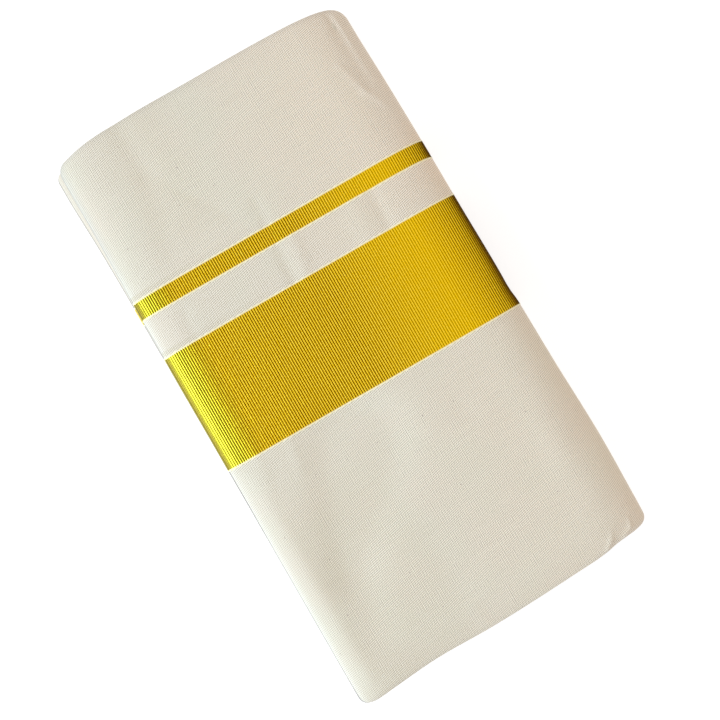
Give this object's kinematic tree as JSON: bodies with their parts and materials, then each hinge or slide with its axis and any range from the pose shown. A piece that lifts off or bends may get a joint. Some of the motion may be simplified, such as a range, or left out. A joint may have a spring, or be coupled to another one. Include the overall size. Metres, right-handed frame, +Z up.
{
  "type": "folded dhoti cloth",
  "caption": "Cotton dhoti folded into a flat oblong packet, with one narrow and one wide woven gold band running across it.",
  "frame": {"origin": "centre of the packet's underside, on the surface that it rests on", "axes": "+X across the packet to the spine of its last fold, +Y along its long side to the end near the narrow band, +Z up"},
  "size_m": [0.1847, 0.3296, 0.0264],
  "materials": {
    "cotton": "unbleached plain-weave cotton, matt, fine slubs",
    "zari": "woven metallic gold thread in fine ribs, satin"
  },
  "bodies": {
    "root": {"outer_turn": "cotton", "hidden_layers": "cotton"}
  },
  "joints": []
}
